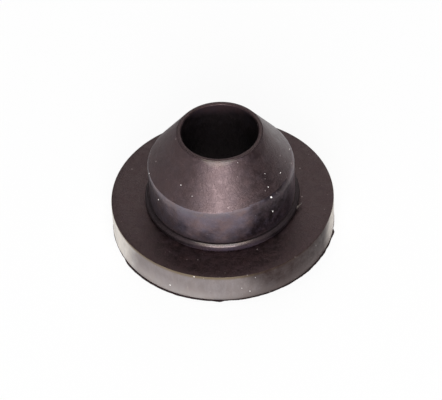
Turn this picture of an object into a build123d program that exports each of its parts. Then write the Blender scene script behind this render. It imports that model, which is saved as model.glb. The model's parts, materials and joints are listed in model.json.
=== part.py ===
from build123d import *
import os

# Pump seal: a one-piece moulded rubber bush. The flat flange stays outside the tank, the neck fills the
# hole in its wall above a small bead, and the tapered nose guides the seal in. The pump's spigot is then
# pushed up the bore from under the flange. Z = 0 is the flange's underside, and Z is the bore's axis.

# Driving dimensions, mm
flange_overhang = 5.2  # how far the flange stands out past the neck, all round
flange_thickness = 4.4
flange_edge_radius = 0.2
flash_overhang = 0.3  # the thin fin left where the mould halves closed, at the flange's lower edge
flash_thickness = 0.16
neck_diameter = 19.6
neck_height = 6.4  # from the flange's upper face to the corner where the nose begins
shoulder_radius = 0.5  # softens that corner
bead_radius = 0.6  # the bead at the neck's root: its round top, and how far it stands out
bead_root = 0.5  # straight height under that round
nose_height = 5.8
lip_width = 0.5  # flat ring at the tip, around the bore
lip_edge_radius = 0.12
mouth_edge_radius = 0.2  # the lip's inner edge, where it turns down into the bore
bore_diameter = 10.2
lead_in = 0.9  # chamfer that takes the spigot, at the bore's lower mouth

# Dependent sizes, mm
bore_radius = bore_diameter / 2
tip_radius = bore_radius + lip_width
neck_radius = neck_diameter / 2
flange_radius = neck_radius + flange_overhang
shoulder_z = flange_thickness + neck_height
tip_z = shoulder_z + nose_height
bead_z = flange_thickness + bead_root


def corner(radius, height):
    """The half section's corner nearest to this radius and height."""
    return half_section.vertices().sort_by_distance((radius, height))[0]


with BuildPart() as pump_seal:
    # The half section lies in the XZ plane, from the bore's wall outwards.
    with BuildSketch(Plane.XZ) as half_section:
        # Flange, neck and tapered nose, with sharp corners
        with BuildLine():
            Polyline(
                (bore_radius, 0),
                (flange_radius, 0),
                (flange_radius, flange_thickness),
                (neck_radius, flange_thickness),
                (neck_radius, shoulder_z),
                (tip_radius, tip_z),
                (bore_radius, tip_z),
                close=True,
            )
        make_face()

        # The corners that the mould leaves round, and the spigot's lead-in
        fillet(corner(neck_radius, shoulder_z), shoulder_radius)
        fillet(corner(flange_radius, flange_thickness), flange_edge_radius)
        fillet(corner(tip_radius, tip_z), lip_edge_radius)
        fillet(corner(bore_radius, tip_z), mouth_edge_radius)
        chamfer(corner(bore_radius, 0), lead_in)

        # The bead has a round top and a straight side down to the flange, so that the mould lets it go.
        with Locations((neck_radius, bead_z)):
            Circle(bead_radius)
            Rectangle(2 * bead_radius, bead_root, align=(Align.CENTER, Align.MAX))

        # The flash is a fin level with the flange's underside.
        with Locations((flange_radius, 0)):
            Rectangle(2 * flash_overhang, flash_thickness, align=(Align.CENTER, Align.MIN))
    revolve(axis=Axis.Z)

pump_seal.part.label = "pump_seal"
os.makedirs("parts", exist_ok=True)
export_step(pump_seal.part, "parts/pump_seal.step")
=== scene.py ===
import json
import math
import random

import bmesh
import bpy
from mathutils import Matrix, Vector, noise
from mathutils.bvhtree import BVHTree


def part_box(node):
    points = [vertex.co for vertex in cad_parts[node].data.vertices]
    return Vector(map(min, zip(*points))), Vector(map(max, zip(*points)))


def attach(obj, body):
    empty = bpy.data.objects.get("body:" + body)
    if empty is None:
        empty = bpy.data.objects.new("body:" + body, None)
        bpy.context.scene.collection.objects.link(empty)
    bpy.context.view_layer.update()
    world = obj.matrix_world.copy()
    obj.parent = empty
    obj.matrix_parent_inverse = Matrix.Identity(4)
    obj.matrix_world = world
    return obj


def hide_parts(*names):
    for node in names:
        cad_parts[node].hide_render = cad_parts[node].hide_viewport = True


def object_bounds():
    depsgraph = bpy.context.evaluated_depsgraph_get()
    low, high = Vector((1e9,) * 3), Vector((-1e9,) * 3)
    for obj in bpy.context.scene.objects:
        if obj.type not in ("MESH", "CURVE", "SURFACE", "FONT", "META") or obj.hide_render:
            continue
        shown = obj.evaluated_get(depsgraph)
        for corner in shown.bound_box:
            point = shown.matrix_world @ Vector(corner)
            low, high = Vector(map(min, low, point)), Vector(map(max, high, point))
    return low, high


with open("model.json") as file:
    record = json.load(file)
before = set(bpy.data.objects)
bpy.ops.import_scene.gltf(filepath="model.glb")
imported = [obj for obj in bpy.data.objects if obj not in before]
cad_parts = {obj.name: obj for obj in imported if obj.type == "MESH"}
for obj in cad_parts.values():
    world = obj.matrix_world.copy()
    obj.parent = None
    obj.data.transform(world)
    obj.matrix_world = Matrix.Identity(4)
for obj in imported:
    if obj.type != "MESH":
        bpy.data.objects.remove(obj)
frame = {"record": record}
cad_low, cad_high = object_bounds()


# The seal is one moulding in black rubber: a flat flange, a neck with a small bead at its root, and a nose
# that tapers to a thin lip round the bore. It is made here as its half section, turned about the bore's
# axis. The sizes are millimetres, and the main ones come from the CAD part's box and mounts.
mounts = {mount["name"]: mount for mount in frame["record"]["mounts"]}
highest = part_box("pump_seal")[1] * 1000
bore_radius = mounts["bore"]["dims"]["r_mm"]
neck_radius = mounts["neck"]["dims"]["r_mm"]
neck_top = mounts["neck"]["pos_m"][2] * 1000 + mounts["neck"]["dims"]["length_mm"] / 2
flange_top = mounts["tank_face"]["pos_m"][2] * 1000
tip = highest.z
flash_overhang = 0.3
flash_thickness = 0.13
flange_radius = highest.x - flash_overhang
bead_reach = 0.6
bead_top = flange_top + 1.1
bead_round = 0.58
bead_foot = 0.35  # the height at which the bead's side starts to tuck in towards the flange
bead_foot_round = 0.12
bead_tuck = 0.15
shoulder_reach = 0.165  # along the neck, and along the nose, from the corner that the shoulder rounds
nose_slope = -0.724  # how the nose's radius changes with height
worn_neck = 1  # the stretches below and above the shoulder that are cut finely for its wear
worn_nose = 1.2
lip_width = 0.5
lip_rim = 0.12  # how far the nose's upper rim stays out from the lip's land, and below it
lip_groove = 0.2  # the groove between them, measured down from the land
mouth_round = 0.2
edge_round = 0.05
fine_round = 0.03
lead_in = 0.9
spin_steps = 720


def rubber_ring_corners():
    """The half section's corners: distance from the axis, height, and how far the corner's round reaches."""
    land = bore_radius + lip_width
    return [
        (bore_radius, lead_in, edge_round),
        (bore_radius + lead_in, 0, edge_round),
        (flange_radius + flash_overhang, 0, 0),
        (flange_radius + flash_overhang, flash_thickness, 0),
        (flange_radius, flash_thickness, 0),
        (flange_radius, flange_top, edge_round),
        (neck_radius + bead_reach - bead_tuck, flange_top, 0),
        (neck_radius + bead_reach, flange_top + bead_foot, bead_foot_round),
        (neck_radius + bead_reach, bead_top, bead_round),
        (neck_radius, bead_top, fine_round),
        (neck_radius, neck_top - worn_neck, 0),
        (neck_radius, neck_top + shoulder_reach, shoulder_reach),
        (neck_radius + nose_slope * worn_nose, neck_top + shoulder_reach + worn_nose, 0),
        (land + lip_rim, tip - lip_rim, fine_round),
        (land + lip_rim / 2, tip - lip_groove, 0),
        (land, tip, fine_round),
        (bore_radius, tip, mouth_round),
    ]


seal_mesh = bmesh.new()
outline = rubber_ring_corners()
corners = [seal_mesh.verts.new((radius, 0, height)) for radius, height, _ in outline]
seal_mesh.faces.new(corners)
for corner, (_, _, reach) in zip(corners, outline):
    if reach:
        bmesh.ops.bevel(seal_mesh, geom=[corner], offset=reach, segments=8 if reach > 0.1 else 3, profile=0.5,
                        affect="VERTICES", material=-1)
bmesh.ops.delete(seal_mesh, geom=seal_mesh.faces[:], context="FACES_ONLY")

# The long straight stretches are cut up, and the two beside the shoulder finely, before the section turns.
for longest, cuts in ((3.5, 3), (1.5, 1)):
    long_edges = [edge for edge in seal_mesh.edges if edge.calc_length() > longest]
    bmesh.ops.subdivide_edges(seal_mesh, edges=long_edges, cuts=cuts)
slack = 0.1
zone_low = neck_top - worn_neck - slack
zone_high = neck_top + shoulder_reach + worn_nose + slack
beside_shoulder = [edge for edge in seal_mesh.edges if edge.calc_length() > 0.8
                   and all(zone_low < vert.co.z < zone_high for vert in edge.verts)]
bmesh.ops.subdivide_edges(seal_mesh, edges=beside_shoulder, cuts=7)
bmesh.ops.spin(seal_mesh, geom=seal_mesh.verts[:] + seal_mesh.edges[:], cent=(0, 0, 0), axis=(0, 0, 1),
               angle=math.tau, steps=spin_steps, use_merge=True)
bmesh.ops.recalc_face_normals(seal_mesh, faces=seal_mesh.faces[:])


def azimuth_of(point):
    """Degrees round from the seal's front, positive to the right."""
    return math.degrees(math.atan2(point.x, -point.y))


def outward_at(azimuth):
    """The level direction away from the axis, at this many degrees round from the front."""
    around = math.radians(azimuth)
    return Vector((math.sin(around), -math.cos(around), 0))


def between(stations, azimuth):
    """The value at an azimuth, on straight lines between stations of (azimuth, value)."""
    for (start, low), (end, high) in zip(stations, stations[1:]):
        if start <= azimuth <= end:
            return low + (high - low) * (azimuth - start) / (end - start)
    return stations[0][1]


# The flash tore unevenly when the seal was trimmed: it is wide, then nearly gone, with a nib or two.
least_flash = 0.02
broad_tears = 0.05
fine_tears = 0.03
flash_stations = [  # azimuth, and how far the flash reaches there
    (-180, 0.12), (-150, 0.2), (-120, 0.17), (-95, 0.03), (-64, 0.03), (-60, 0.22), (-42, 0.25),
    (-20, 0.22), (-7, 0.2), (-3.5, 0.29), (-1.5, 0.11), (25, 0.12), (45, 0.16), (60, 0.17), (73, 0.15),
    (77, 0.29), (79, 0.04), (105, 0.04), (135, 0.18), (160, 0.22), (180, 0.12),
]
for vertex in seal_mesh.verts:
    radius = math.hypot(vertex.co.x, vertex.co.y)
    if radius > flange_radius + flash_overhang / 2:
        azimuth = azimuth_of(vertex.co)
        ragged = broad_tears * noise.noise(vertex.co * 0.9) + fine_tears * noise.noise(vertex.co * 3.1)
        reach = between(flash_stations, azimuth) + ragged
        reach = min(max(reach, least_flash), flash_overhang)
        wanted = flange_radius + reach
        vertex.co.x *= wanted / radius
        vertex.co.y *= wanted / radius

# The shoulder is crisp on the left and worn to a wider round on the right.
worn_stations = [(-180, 0), (-12, 0), (24, 1), (120, 1), (160, 0), (180, 0)]
worn_reach = 0.6
half_turn = math.atan(-nose_slope) / 2  # half the angle by which the section turns at the shoulder


def rounded_off(reach, along):
    """How deep a round that starts this far from a sharp shoulder lies under it, at a distance along it."""
    return reach * math.tan(half_turn / 2) * max(1 - along / reach, 0) ** 2


for vertex in seal_mesh.verts:
    radius, height = math.hypot(vertex.co.x, vertex.co.y), vertex.co.z
    along = abs(height - neck_top - shoulder_reach)
    if height > neck_top + shoulder_reach:
        along /= math.cos(2 * half_turn)
    if radius > neck_radius - worn_nose and along < worn_reach:
        worn = rounded_off(worn_reach, along) - rounded_off(shoulder_reach, along)
        worn *= between(worn_stations, azimuth_of(vertex.co))
        vertex.co.x *= 1 - worn / radius
        vertex.co.y *= 1 - worn / radius

seal_surface = BVHTree.FromBMesh(seal_mesh)


def grain_group():
    """Masks and heights that every rubber here shares: a mottle, a drift of its hue, specks and a grain."""
    group = bpy.data.node_groups.new("rubber_grain", "ShaderNodeTree")
    for socket, default in (("Mottle size", 420.0), ("Speck size", 1400.0), ("Grain size", 5200.0)):
        added = group.interface.new_socket(socket, in_out="INPUT", socket_type="NodeSocketFloat")
        added.default_value = default
    group.interface.new_socket("Stretch", in_out="INPUT", socket_type="NodeSocketVector")
    for socket in ("Mottle", "Hue", "Specks", "Grain"):
        group.interface.new_socket(socket, in_out="OUTPUT", socket_type="NodeSocketFloat")
    nodes, links = group.nodes, group.links
    given, result = nodes.new("NodeGroupInput"), nodes.new("NodeGroupOutput")
    place = nodes.new("ShaderNodeTexCoord")

    def cloud(detail, roughness, low, high, size=None, scale=None, moved=0.0):
        """A noise that is spread to run from 0 to 1, with its size from a socket or as a plain scale."""
        shifted = nodes.new("ShaderNodeVectorMath")
        shifted.operation = "MULTIPLY_ADD"
        shifted.inputs[2].default_value = (moved, moved, moved)
        links.new(place.outputs["Object"], shifted.inputs[0])
        links.new(given.outputs["Stretch"], shifted.inputs[1])
        noisy = nodes.new("ShaderNodeTexNoise")
        noisy.inputs["Detail"].default_value = detail
        noisy.inputs["Roughness"].default_value = roughness
        links.new(shifted.outputs["Vector"], noisy.inputs["Vector"])
        if size:
            links.new(given.outputs[size], noisy.inputs["Scale"])
        else:
            noisy.inputs["Scale"].default_value = scale
        spread = nodes.new("ShaderNodeMapRange")
        spread.inputs["From Min"].default_value = low
        spread.inputs["From Max"].default_value = high
        links.new(noisy.outputs["Fac"], spread.inputs["Value"])
        return spread.outputs["Result"]

    broad = cloud(detail=4, roughness=0.65, low=0.32, high=0.68, size="Mottle size")
    fine = cloud(detail=5, roughness=0.8, low=0.44, high=0.62, scale=1100, moved=0.2)
    hue = cloud(detail=3, roughness=0.6, low=0.35, high=0.65, scale=650, moved=0.4)
    grain = cloud(detail=3, roughness=0.5, low=0, high=1, size="Grain size")
    links.new(hue, result.inputs["Hue"])
    links.new(grain, result.inputs["Grain"])
    both = nodes.new("ShaderNodeMix")
    both.inputs["Factor"].default_value = 0.6
    links.new(broad, both.inputs["A"])
    links.new(fine, both.inputs["B"])
    links.new(both.outputs["Result"], result.inputs["Mottle"])

    cells = nodes.new("ShaderNodeTexVoronoi")
    links.new(place.outputs["Object"], cells.inputs["Vector"])
    links.new(given.outputs["Speck size"], cells.inputs["Scale"])
    chance = nodes.new("ShaderNodeSeparateColor")
    links.new(cells.outputs["Color"], chance.inputs["Color"])
    size = nodes.new("ShaderNodeMapRange")
    size.inputs["From Min"].default_value = 0.6
    size.inputs["From Max"].default_value = 1
    size.inputs["To Min"].default_value = 0
    size.inputs["To Max"].default_value = 0.2
    links.new(chance.outputs["Red"], size.inputs["Value"])
    speck = nodes.new("ShaderNodeMath")
    speck.operation = "SUBTRACT"
    links.new(size.outputs["Result"], speck.inputs[0])
    links.new(cells.outputs["Distance"], speck.inputs[1])
    soft = nodes.new("ShaderNodeMapRange")
    soft.inputs["From Min"].default_value = 0
    soft.inputs["From Max"].default_value = 0.08
    links.new(speck.outputs["Value"], soft.inputs["Value"])
    links.new(soft.outputs["Result"], result.inputs["Specks"])
    return group


def facing_mask_group():
    """A mask that is 1 on the side of the seal that faces a direction, with a soft and uneven edge. With a
    rise, given per metre of height, the mask also grows towards the top, or with a negative one the foot."""
    group = bpy.data.node_groups.new("rubber_facing_mask", "ShaderNodeTree")
    group.interface.new_socket("Direction", in_out="INPUT", socket_type="NodeSocketVector")
    for socket in ("Rise", "Ragged", "Edge", "Full"):
        group.interface.new_socket(socket, in_out="INPUT", socket_type="NodeSocketFloat")
    group.interface.new_socket("Mask", in_out="OUTPUT", socket_type="NodeSocketFloat")
    nodes, links = group.nodes, group.links
    given, result = nodes.new("NodeGroupInput"), nodes.new("NodeGroupOutput")
    place = nodes.new("ShaderNodeTexCoord")
    level = nodes.new("ShaderNodeVectorMath")
    level.operation = "MULTIPLY"
    level.inputs[1].default_value = (1, 1, 0)
    links.new(place.outputs["Object"], level.inputs[0])
    outward = nodes.new("ShaderNodeVectorMath")
    outward.operation = "NORMALIZE"
    links.new(level.outputs["Vector"], outward.inputs[0])
    facing = nodes.new("ShaderNodeVectorMath")
    facing.operation = "DOT_PRODUCT"
    links.new(outward.outputs["Vector"], facing.inputs[0])
    links.new(given.outputs["Direction"], facing.inputs[1])
    apart = nodes.new("ShaderNodeSeparateXYZ")
    links.new(place.outputs["Object"], apart.inputs["Vector"])
    climb = nodes.new("ShaderNodeMath")
    climb.operation = "MULTIPLY_ADD"
    links.new(apart.outputs["Z"], climb.inputs[0])
    links.new(given.outputs["Rise"], climb.inputs[1])
    links.new(facing.outputs["Value"], climb.inputs[2])
    uneven = nodes.new("ShaderNodeTexNoise")
    uneven.inputs["Scale"].default_value = 350
    uneven.inputs["Detail"].default_value = 5
    uneven.inputs["Roughness"].default_value = 0.65
    links.new(place.outputs["Object"], uneven.inputs["Vector"])
    swing = nodes.new("ShaderNodeMath")
    swing.operation = "SUBTRACT"
    swing.inputs[1].default_value = 0.5
    links.new(uneven.outputs["Fac"], swing.inputs[0])
    stir = nodes.new("ShaderNodeMath")
    stir.operation = "MULTIPLY_ADD"
    links.new(swing.outputs["Value"], stir.inputs[0])
    links.new(given.outputs["Ragged"], stir.inputs[1])
    links.new(climb.outputs["Value"], stir.inputs[2])
    soft = nodes.new("ShaderNodeMapRange")
    soft.interpolation_type = "SMOOTHSTEP"
    links.new(stir.outputs["Value"], soft.inputs["Value"])
    links.new(given.outputs["Edge"], soft.inputs["From Min"])
    links.new(given.outputs["Full"], soft.inputs["From Max"])
    patchy = nodes.new("ShaderNodeTexNoise")
    patchy.inputs["Scale"].default_value = 1200
    patchy.inputs["Detail"].default_value = 5
    patchy.inputs["Roughness"].default_value = 0.75
    links.new(place.outputs["Object"], patchy.inputs["Vector"])
    thinned = nodes.new("ShaderNodeMapRange")
    thinned.inputs["From Min"].default_value = 0.3
    thinned.inputs["From Max"].default_value = 0.7
    thinned.inputs["To Min"].default_value = 0.78
    links.new(patchy.outputs["Fac"], thinned.inputs["Value"])
    patch_mask = nodes.new("ShaderNodeMath")
    patch_mask.operation = "MULTIPLY"
    links.new(soft.outputs["Result"], patch_mask.inputs[0])
    links.new(thinned.outputs["Result"], patch_mask.inputs[1])
    links.new(patch_mask.outputs["Value"], result.inputs["Mask"])
    return group


def facing_mask_node(nodes, facing, rise, ragged, edge, full):
    """Places the facing mask in a material. It faces an azimuth, ends at one mask and is full at another."""
    patch_mask = nodes.new("ShaderNodeGroup")
    patch_mask.node_tree = facing_masks
    patch_mask.inputs["Direction"].default_value = outward_at(facing)
    patch_mask.inputs["Rise"].default_value = rise
    patch_mask.inputs["Ragged"].default_value = ragged
    patch_mask.inputs["Edge"].default_value = edge
    patch_mask.inputs["Full"].default_value = full
    return patch_mask


def rubber(name, dark, pale, dust, dustiness, roughness, index, bump, drift=0.25, tint=(1, 0.73, 0.76),
           stretch=(1, 1, 1), tone_patches=(), handled=None):
    """Rubber that is mottled between two colours, with specks of dust and a fine grain. Each tone patch is a
    colour painted over one side, most of them painted light, painted shade or a painted reflection: its
    colour, the azimuth that it faces, its rise and raggedness, and the masks at which it ends and is full. A
    handled side is an azimuth, the masks at which it ends and is full, and its own roughness."""
    made = bpy.data.materials.new(name)
    made.use_nodes = True
    nodes, links = made.node_tree.nodes, made.node_tree.links
    skin = nodes["Principled BSDF"]
    skin.inputs["IOR"].default_value = index
    skin.inputs["Specular Tint"].default_value = (*tint, 1)
    effects = nodes.new("ShaderNodeGroup")
    effects.node_tree = rubber_effects
    effects.inputs["Stretch"].default_value = stretch
    mottled = nodes.new("ShaderNodeMix")
    mottled.data_type = "RGBA"
    mottled.inputs["A"].default_value = (*dark, 1)
    links.new(effects.outputs["Mottle"], mottled.inputs["Factor"])
    cooler = nodes.new("ShaderNodeMix")
    cooler.data_type = "RGBA"
    cooler.inputs["A"].default_value = (*pale, 1)
    cooler.inputs["B"].default_value = (pale[0] * (1 - drift), pale[1], pale[2] * (1 + drift), 1)
    links.new(effects.outputs["Hue"], cooler.inputs["Factor"])
    links.new(cooler.outputs["Result"], mottled.inputs["B"])
    amount = nodes.new("ShaderNodeMath")
    amount.operation = "MULTIPLY"
    amount.inputs[1].default_value = dustiness
    links.new(effects.outputs["Specks"], amount.inputs[0])
    dusty = nodes.new("ShaderNodeMix")
    dusty.data_type = "RGBA"
    dusty.inputs["B"].default_value = (*dust, 1)
    links.new(amount.outputs["Value"], dusty.inputs["Factor"])
    clean = mottled.outputs["Result"]
    # Each tone patch paints a colour over one side of the seal; most are painted light, painted shade or a
    # painted reflection.
    for patch_colour, facing, rise, ragged, edge, full in tone_patches:
        patch_mask = facing_mask_node(nodes, facing, rise, ragged, edge, full)
        hue = nodes.new("ShaderNodeMix")
        hue.data_type = "RGBA"
        hue.inputs["A"].default_value = (patch_colour[0] * (1 + drift / 3), patch_colour[1], patch_colour[2] * (1 - drift / 3), 1)
        hue.inputs["B"].default_value = (patch_colour[0] * (1 - drift / 3), patch_colour[1], patch_colour[2] * (1 + drift / 3), 1)
        links.new(effects.outputs["Hue"], hue.inputs["Factor"])
        patched = nodes.new("ShaderNodeMix")
        patched.data_type = "RGBA"
        links.new(hue.outputs["Result"], patched.inputs["B"])
        links.new(patch_mask.outputs["Mask"], patched.inputs["Factor"])
        links.new(clean, patched.inputs["A"])
        clean = patched.outputs["Result"]
    links.new(clean, dusty.inputs["A"])
    links.new(dusty.outputs["Result"], skin.inputs["Base Color"])
    rough = nodes.new("ShaderNodeMapRange")
    rough.inputs["To Min"].default_value = roughness - 0.07
    rough.inputs["To Max"].default_value = roughness + 0.1
    links.new(effects.outputs["Mottle"], rough.inputs["Value"])
    finish = rough.outputs["Result"]
    if handled:
        facing, edge, full, own_roughness = handled
        side = facing_mask_node(nodes, facing, 0, 0.1, edge, full)
        changed = nodes.new("ShaderNodeMix")
        changed.inputs["B"].default_value = own_roughness
        links.new(side.outputs["Mask"], changed.inputs["Factor"])
        links.new(finish, changed.inputs["A"])
        finish = changed.outputs["Result"]
    links.new(finish, skin.inputs["Roughness"])
    relief = nodes.new("ShaderNodeBump")
    relief.inputs["Strength"].default_value = 1
    relief.inputs["Distance"].default_value = bump
    height = nodes.new("ShaderNodeMath")
    height.operation = "MULTIPLY_ADD"
    height.inputs[1].default_value = 2
    links.new(effects.outputs["Mottle"], height.inputs[0])
    links.new(effects.outputs["Grain"], height.inputs[2])
    links.new(height.outputs["Value"], relief.inputs["Height"])
    links.new(relief.outputs["Normal"], skin.inputs["Normal"])
    return made


rubber_effects = grain_group()
facing_masks = facing_mask_group()
moulded_rubber = rubber("moulded_rubber", dark=(0.005, 0.0025, 0.003), pale=(0.044, 0.025, 0.026),
                        dust=(0.45, 0.38, 0.37), dustiness=0.5, roughness=0.365, index=1.8, bump=1e-5,
                        tint=(1, 0.73, 0.75), handled=(-85, 0.55, 0.95, 0.75), tone_patches=[
                            ((0.016, 0.009, 0.01), -65, 0, 0.9, 0.6, 1.2),  # painted shade on the nose's left
                            ((0.01, 0.005, 0.006), 62, 0, 0.6, 0.7, 1.15),  # painted shade on its right
                            ((0.1, 0.077, 0.084), 12, -800, 0.3, -8.0, -7.78),  # painted reflection at its foot, at the front, carrying the highlight into the neck
                            ((0.12, 0.104, 0.088), -3, 150, 0.06, 3.36, 3.45),  # painted highlight on the lip's front edge
                        ])
flange_rubber = rubber("flange_rubber", dark=(0, 0, 0), pale=(0.015, 0.007, 0.008),
                       dust=(0.3, 0.25, 0.24), dustiness=0.4, roughness=0.42, index=1.55, bump=1.3e-5,
                       tint=(1, 0.66, 0.66))
neck_rubber = rubber("neck_rubber", dark=(0.004, 0.0025, 0.003), pale=(0.037, 0.023, 0.028),
                     dust=(0.3, 0.25, 0.25), dustiness=0.4, roughness=0.36, index=1.42, bump=1e-5, tone_patches=[
                         ((0.046, 0.036, 0.042), -60, 30, 0.5, 0.8, 1.3),  # painted light on the neck's left
                         ((0.145, 0.11, 0.126), -10, 35, 0.5, 1.05, 1.4),  # painted reflection of the tabletop on its front
                         ((0.135, 0.113, 0.126), -35, 400, 0.6, 4.8, 5.2),  # painted highlight under the shoulder
                         ((0.115, 0.087, 0.099), 110, 0, 0.3, 0.67, 0.93),  # painted light on the neck's right
                         ((0.03, 0.019, 0.02), -20, -3000, 0.6, -18.4, -14.2),  # painted shade just above the bead
                     ])
bead_rubber = rubber("bead_rubber", dark=(0.002, 0.0015, 0.0018), pale=(0.009, 0.006, 0.0075),
                     dust=(0.2, 0.16, 0.16), dustiness=0.1, roughness=0.5, index=1.6, bump=1e-6,
                     handled=(1, 0.89, 0.985, 0.12), tone_patches=[
                         ((0.07, 0.05, 0.068), 3, -300, 0.1, -0.68, -0.42),  # painted reflection on the bead's lower front
                         ((0.2, 0.178, 0.158), -1, 300, 0.05, 2.51, 2.63),  # painted highlight on its upper front
                     ])
# The bore's rubber is painted near black, as painted shade in the bore and in the crease over the bead.
recess_shade_rubber = rubber("recess_shade_rubber", dark=(0.002, 0.0015, 0.0017), pale=(0.006, 0.0042, 0.0048),
                     dust=(0.05, 0.04, 0.04), dustiness=0.2, roughness=0.5, index=1.4, bump=8e-6, tone_patches=[
                         ((0.03, 0.019, 0.024), 180, 300, 0.2, 5.35, 5.9),  # painted light on the back wall, near the mouth
                     ])
# The side wall's pale grey is a painted reflection of the pale tabletop, with patches of painted sheen, light
# and shade over it.
side_painted_sheen = rubber("side_painted_sheen", dark=(0.178, 0.152, 0.148), pale=(0.242, 0.209, 0.204),
                     dust=(0.5, 0.46, 0.44), dustiness=0.4, roughness=0.42, index=1.25, bump=5e-6, drift=0.05,
                     stretch=(1, 1, 0.4), tone_patches=[
                         ((0.34, 0.305, 0.295), -45, -250, 0.2, 0.2, 1),  # painted light on the foot, front left
                         ((0.78, 0.73, 0.67), -86, 0, 0.15, 0.79, 0.98),  # painted grazing sheen on the left
                         ((0.15, 0.115, 0.072), -10, 2000, 0.15, 8.5, 9.4),  # the brown upper edge
                         ((0.014, 0.005, 0.004), 46, 26, 0.06, 0.82, 1.01),  # painted shade on the front right
                         ((0.088, 0.07, 0.067), 58, -400, 0.15, 0, 0.85),  # painted light on the foot of that stretch
                         ((0.74, 0.68, 0.62), 95, 0, 0.1, 0.83, 0.97),  # painted grazing sheen on the right
                     ])


def as_piece(mesh, name, *materials):
    """Turns a bmesh in millimetres into a smooth piece in metres that rides on the seal's body."""
    bmesh.ops.scale(mesh, vec=(0.001, 0.001, 0.001), verts=mesh.verts[:])
    data = bpy.data.meshes.new(name)
    mesh.to_mesh(data)
    mesh.free()
    data.shade_smooth()
    data.set_sharp_from_angle(angle=math.radians(40))
    for material in materials:
        data.materials.append(material)
    piece = bpy.data.objects.new(name, data)
    bpy.context.scene.collection.objects.link(piece)
    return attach(piece, "root")


# Each face takes the finish of the part of the seal that it lies on. The crease over the bead takes the
# bore's painted shade, and the neck's finish, with its painted light, runs a little way over the shoulder,
# further where that is worn.
hair = 0.01
crease_reach = 0.35
crease_depth = 0.07
neck_finish = 1.8 * shoulder_reach
worn_finish = 0.6 * worn_reach
for face in seal_mesh.faces:
    centre = face.calc_center_median()
    out = math.hypot(centre.x, centre.y)
    height = centre.z
    in_bore = out < bore_radius + hair and height < tip - slack
    beside_crease = neck_radius - slack < out < neck_radius + crease_reach
    in_crease = beside_crease and abs(height - bead_top) < crease_depth
    beside_bead = neck_radius < out < neck_radius + bead_reach + slack
    on_bead = beside_bead and flange_top + slack < height < bead_top
    neck_end = neck_top + neck_finish + worn_finish * between(worn_stations, azimuth_of(centre))
    on_neck = out > neck_radius - worn_reach and bead_top < height < neck_end
    on_side = out > flange_radius - 2 * hair and height > flash_thickness
    on_land = out < bore_radius + lip_width + hair and height > tip - slack
    on_flange = out > neck_radius - slack and height < bead_top
    on_plain = on_flange or on_land or height < hair
    where = [on_side, in_bore or in_crease, on_plain and not on_bead, on_bead, on_neck, True]
    face.material_index = where.index(True)
seal = as_piece(seal_mesh, "seal_body", side_painted_sheen, recess_shade_rubber, flange_rubber, bead_rubber, neck_rubber,
                moulded_rubber)
weighted = seal.modifiers.new("flat faces stay flat", "WEIGHTED_NORMAL")
weighted.keep_sharp = True
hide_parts("pump_seal")


# The crumbs are grit and trimming dust that cling to the rubber. Each is a tiny uneven lump, pressed a
# little into the surface where a level line towards the axis meets it.
crumb_material = bpy.data.materials.new("pale_crumbs")
crumb_material.use_nodes = True
crumb_skin = crumb_material.node_tree.nodes["Principled BSDF"]
crumb_skin.inputs["Base Color"].default_value = (0.88, 0.84, 0.82, 1)
crumb_skin.inputs["Roughness"].default_value = 0.7
lumpiness = 0.35
most_stretch = 0.6
flatness = 0.8
stand_off = 0.15  # the share of a crumb's size by which its middle stands off the surface
crumb_places = [  # azimuth, height, size
    (41.6, 11.05, 0.25), (41.6, 8.57, 0.16), (-40.9, 13.05, 0.12), (97.2, 11.54, 0.12),
    (-59.5, 9.31, 0.13), (62.8, 12.3, 0.13), (43.2, 12.2, 0.13), (46.7, 13.6, 0.1),
    (-29.7, 1.36, 0.16), (11.7, 1.27, 0.12), (-16.2, 4.23, 0.14), (-80.1, 10.94, 0.1),
    (21.2, 16.1, 0.09), (-27.3, 12.41, 0.09), (14.8, 3.63, 0.1), (7.7, 2.08, 0.09),
]
chance = random.Random(7)
crumb_mesh = bmesh.new()
for azimuth, height, size in crumb_places:
    outward = outward_at(azimuth)
    well_clear = outward * 2 * flange_radius + Vector((0, 0, height))
    spot, normal, _, _ = seal_surface.ray_cast(well_clear, -outward)
    lump = bmesh.ops.create_icosphere(crumb_mesh, subdivisions=2, radius=size / 2)["verts"]
    for vertex in lump:
        vertex.co *= 1 + lumpiness * noise.noise(vertex.co * (1.6 / size) + spot)
    stretch = Vector((1 + chance.random() * most_stretch, 1, flatness))
    bmesh.ops.scale(crumb_mesh, vec=stretch, verts=lump)
    bmesh.ops.rotate(crumb_mesh, matrix=Matrix.Rotation(chance.uniform(0, math.tau), 3, "Z"), verts=lump)
    bmesh.ops.rotate(crumb_mesh, matrix=normal.to_track_quat("Z", "Y").to_matrix(), verts=lump)
    bmesh.ops.translate(crumb_mesh, vec=spot + normal * size * stand_off, verts=lump)
as_piece(crumb_mesh, "dust_crumbs", crumb_material)


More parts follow.
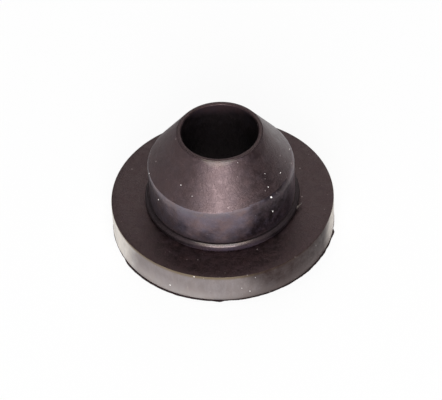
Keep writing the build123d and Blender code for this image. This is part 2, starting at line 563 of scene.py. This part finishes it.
# A whisker of flash stands off the bead on the right, where the knife missed it. It is a thin sliver of the
# same rubber, rooted in the bead.
whisker_length = 1.2
whisker_root = outward_at(70) * (neck_radius + 0.5) + Vector((0, 0, flange_top + 0.5))
whisker_end = outward_at(79) * (neck_radius + 1.15) + Vector((0, 0, flange_top + 0.32))
whisker_mesh = bmesh.new()
whisker = bmesh.ops.create_cone(whisker_mesh, cap_ends=True, segments=10, radius1=0.22, radius2=0.07,
                                depth=whisker_length)["verts"]
bmesh.ops.scale(whisker_mesh, vec=(0.5, 1, 1), verts=whisker)
leaning = (whisker_end - whisker_root).to_track_quat("Z", "Y").to_matrix()
bmesh.ops.rotate(whisker_mesh, matrix=leaning, verts=whisker)
bmesh.ops.translate(whisker_mesh, vec=(whisker_root + whisker_end) / 2, verts=whisker)
whisker_material = rubber("whisker_rubber", dark=(0.1, 0.076, 0.066), pale=(0.16, 0.125, 0.105),
                          dust=(0.3, 0.26, 0.23), dustiness=0.3, roughness=0.5, index=1.4, bump=3e-6)
whisker_piece = as_piece(whisker_mesh, "flash_whisker", whisker_material)


# The seal stands on its flange on a wide pale tabletop. The camera sees the tabletop lifted almost to white,
# with the seal's shadow kept, and the rubber mirrors only a little of that.
tabletop_radius = 4  # metres
seen_lift = 0.86
mirrored_share = 0.12
floor_mesh = bmesh.new()
bmesh.ops.create_circle(floor_mesh, cap_ends=True, segments=96, radius=tabletop_radius)
bmesh.ops.translate(floor_mesh, vec=(0, 0, cad_low.z), verts=floor_mesh.verts[:])
floor_data = bpy.data.meshes.new("floor")
floor_mesh.to_mesh(floor_data)
floor_mesh.free()
floor = bpy.data.objects.new("floor", floor_data)
bpy.context.scene.collection.objects.link(floor)

floor_material = bpy.data.materials.new("white_tabletop")
floor_material.use_nodes = True
floor_nodes, floor_links = floor_material.node_tree.nodes, floor_material.node_tree.links
floor_skin = floor_nodes["Principled BSDF"]
floor_skin.inputs["Base Color"].default_value = (0.9, 0.9, 0.9, 1)
floor_skin.inputs["Roughness"].default_value = 0.9
floor_skin.inputs["Specular IOR Level"].default_value = 0
seen = floor_nodes.new("ShaderNodeLightPath")
white = floor_nodes.new("ShaderNodeEmission")
seen_or_through = floor_nodes.new("ShaderNodeMath")
seen_or_through.operation = "MAXIMUM"
floor_links.new(seen.outputs["Is Camera Ray"], seen_or_through.inputs[0])
floor_links.new(seen.outputs["Is Transmission Ray"], seen_or_through.inputs[1])
mirrored = floor_nodes.new("ShaderNodeMath")
mirrored.operation = "MULTIPLY"
mirrored.inputs[1].default_value = mirrored_share
floor_links.new(seen.outputs["Is Glossy Ray"], mirrored.inputs[0])
lift = floor_nodes.new("ShaderNodeMath")
lift.operation = "MAXIMUM"
floor_links.new(seen_or_through.outputs["Value"], lift.inputs[0])
floor_links.new(mirrored.outputs["Value"], lift.inputs[1])
lifted = floor_nodes.new("ShaderNodeMath")
lifted.operation = "MULTIPLY"
lifted.inputs[1].default_value = seen_lift
floor_links.new(lift.outputs["Value"], lifted.inputs[0])
tabletop = floor_nodes.new("ShaderNodeMixShader")
floor_links.new(lifted.outputs["Value"], tabletop.inputs["Fac"])
floor_links.new(floor_skin.outputs["BSDF"], tabletop.inputs[1])
floor_links.new(white.outputs["Emission"], tabletop.inputs[2])
floor_links.new(tabletop.outputs["Shader"], floor_nodes["Material Output"].inputs["Surface"])
floor_data.materials.append(floor_material)


# The studio is a dim plain room. The strong softbox is at the front, with weaker ones at either side, a
# strip above it, one behind the seal and one overhead, all the same distance from the seal.
softbox_distance = 1.2
world = bpy.data.worlds.new("dim_room")
world.use_nodes = True
world.node_tree.nodes["Background"].inputs["Color"].default_value = (0.14, 0.14, 0.14, 1)
bpy.context.scene.world = world


def softbox(name, azimuth, elevation, width, height, radiance):
    """A rectangular area lamp that faces the seal. Its power is set from the radiance of its face."""
    lamp = bpy.data.lights.new(name, "AREA")
    lamp.shape = "RECTANGLE"
    lamp.size, lamp.size_y = width, height
    lamp.energy = radiance * math.pi * width * height
    box = bpy.data.objects.new(name, lamp)
    bpy.context.scene.collection.objects.link(box)
    up = math.radians(elevation)
    away = outward_at(azimuth) * math.cos(up) + Vector((0, 0, math.sin(up)))
    box.location = away * softbox_distance
    box.rotation_euler = away.to_track_quat("Z", "Y").to_euler()


softbox("front_softbox", azimuth=-3, elevation=26, width=0.75, height=0.55, radiance=7.4)
softbox("left_softbox", azimuth=-34, elevation=28, width=0.6, height=0.6, radiance=1.7)
softbox("far_left_softbox", azimuth=-65, elevation=15, width=0.6, height=0.4, radiance=0.5)
softbox("right_softbox", azimuth=34, elevation=28, width=0.6, height=0.5, radiance=1.15)
softbox("upper_strip", azimuth=6, elevation=56, width=0.9, height=0.16, radiance=6.0)
softbox("back_softbox", azimuth=171, elevation=38, width=1.0, height=0.8, radiance=1.35)
softbox("overhead_softbox", azimuth=0, elevation=90, width=0.9, height=0.9, radiance=1.9)


# The camera looks down at the seal through a long lens, rolled by a few degrees, and aims a little to one
# side of the middle of the flange's upper face.
view_elevation = math.radians(45.36)
view_roll = math.radians(-2.61)
view_distance = 0.36
aim = Vector((-0.0002, -0.00053, 0))  # across and up the view
camera_data = bpy.data.cameras.new("camera")
camera_data.lens = 217.6
camera_data.clip_start = 0.01
camera_data.clip_end = 20
camera = bpy.data.objects.new("camera", camera_data)
bpy.context.scene.collection.objects.link(camera)


def rolled(backward):
    """The camera's turn when it looks against this direction, with its roll."""
    return Matrix.Rotation(view_roll, 3, backward) @ backward.to_track_quat("Z", "Y").to_matrix()


flange_centre = Vector((0, 0, flange_top / 1000))
backward = Vector((0, -math.cos(view_elevation), math.sin(view_elevation)))
camera.location = flange_centre + backward * view_distance
aimed = (camera.location - flange_centre - rolled(backward) @ aim).normalized()
camera.rotation_euler = rolled(aimed).to_euler()
bpy.context.scene.camera = camera
bpy.context.scene.view_settings.view_transform = "Standard"
